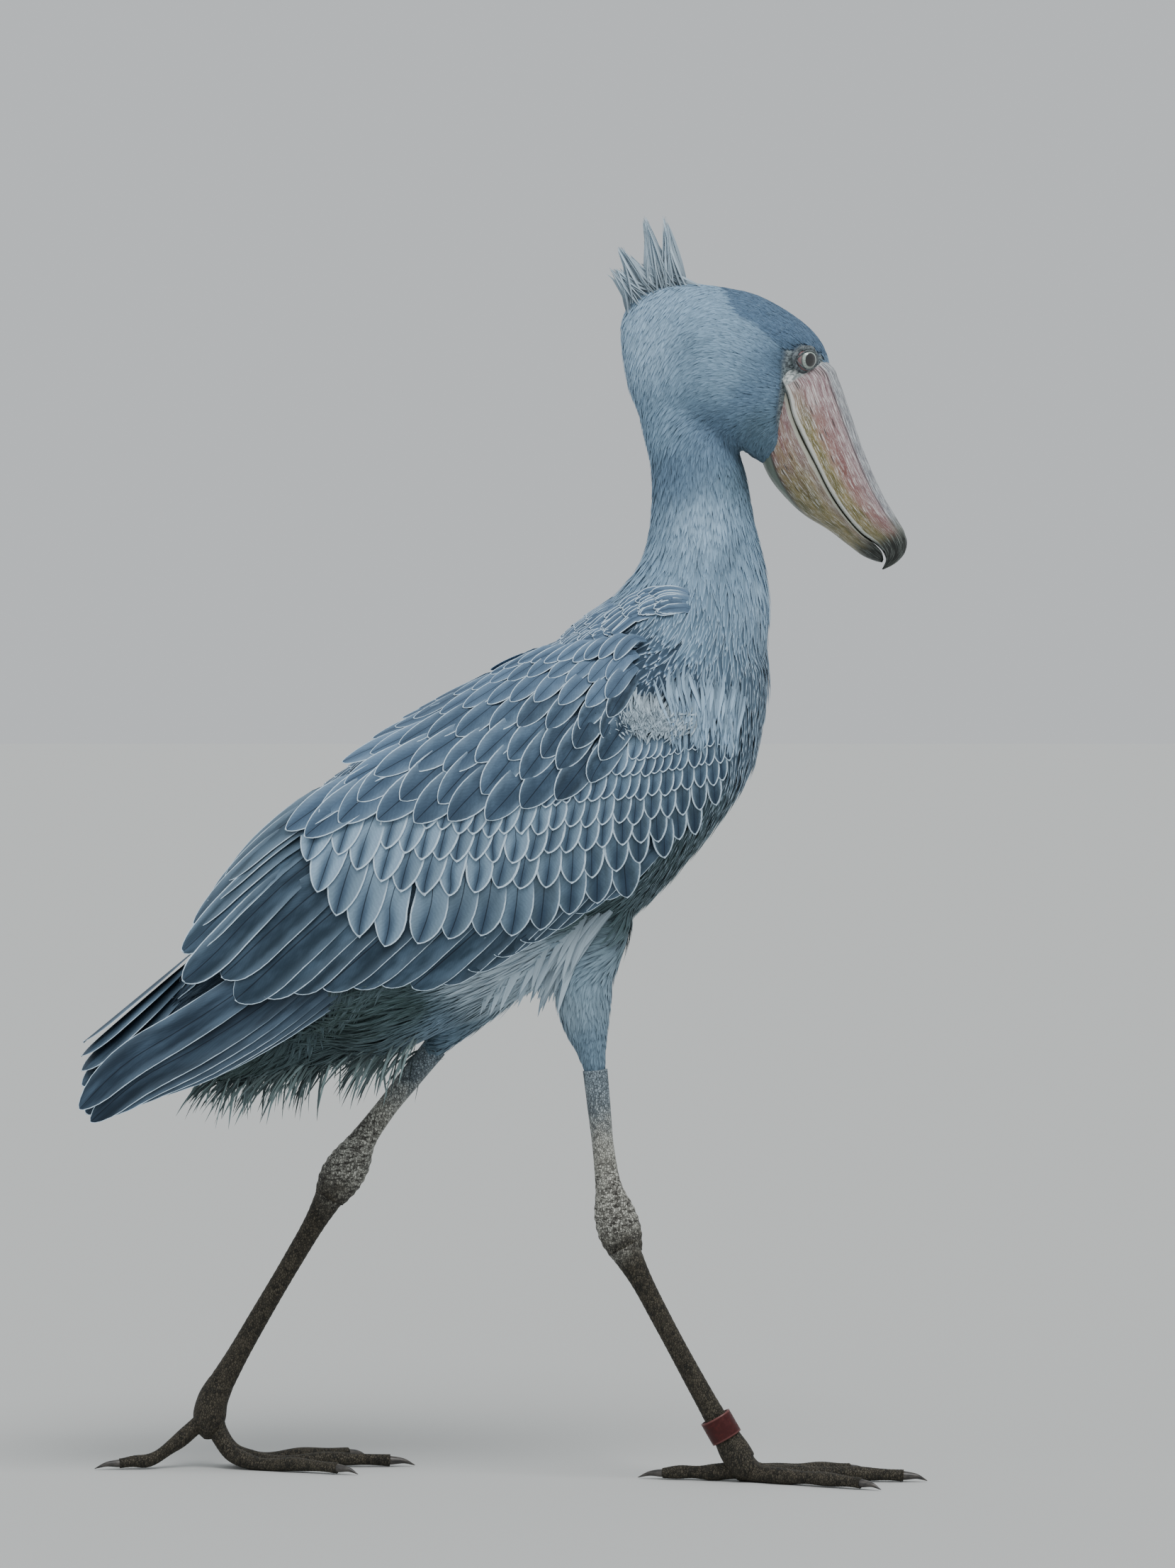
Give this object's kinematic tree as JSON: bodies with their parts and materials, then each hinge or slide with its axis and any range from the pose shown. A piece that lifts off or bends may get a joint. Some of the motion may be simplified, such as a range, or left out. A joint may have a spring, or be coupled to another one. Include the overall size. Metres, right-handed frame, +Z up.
{
  "type": "shoebill figure",
  "caption": "Life-size still model of a shoebill, a large grey wading bird with a huge hooked bill, standing in mid stride.",
  "frame": {"origin": "on the floor, under the middle of the bird's length and width", "axes": "+Z up, +X the way the bird faces, +Y to its left"},
  "size_m": [0.7782, 0.2636, 1.1572],
  "materials": {
    "plumage": "soft matt feathers",
    "flight_feathers": "matt feathers with pale edges",
    "bill_horn": "satin horn",
    "eye": "wet gloss",
    "leg_skin": "matt scaly skin",
    "claw_horn": "satin horn",
    "band_plastic": "worn gloss"
  },
  "bodies": {
    "root": {"head": "plumage", "neck": "plumage", "torso": "plumage", "tail": "flight_feathers", "bill_upper": "bill_horn", "bill_lower": "bill_horn", "leg_band": "band_plastic", "eye_right": "eye", "wing_right": "flight_feathers", "thigh_right": "plumage", "shank_right": "leg_skin", "tarsus_right": "leg_skin", "foot_right": "leg_skin", "toe_inner_right": "leg_skin", "claw_inner_right": "claw_horn", "toe_middle_right": "leg_skin", "claw_middle_right": "claw_horn", "toe_outer_right": "leg_skin", "claw_outer_right": "claw_horn", "toe_hind_right": "leg_skin", "claw_hind_right": "claw_horn", "eye_left": "eye", "wing_left": "flight_feathers", "thigh_left": "plumage", "shank_left": "leg_skin", "tarsus_left": "leg_skin", "foot_left": "leg_skin", "toe_inner_left": "leg_skin", "claw_inner_left": "claw_horn", "toe_middle_left": "leg_skin", "claw_middle_left": "claw_horn", "toe_outer_left": "leg_skin", "claw_outer_left": "claw_horn", "toe_hind_left": "leg_skin", "claw_hind_left": "claw_horn"}
  },
  "joints": []
}
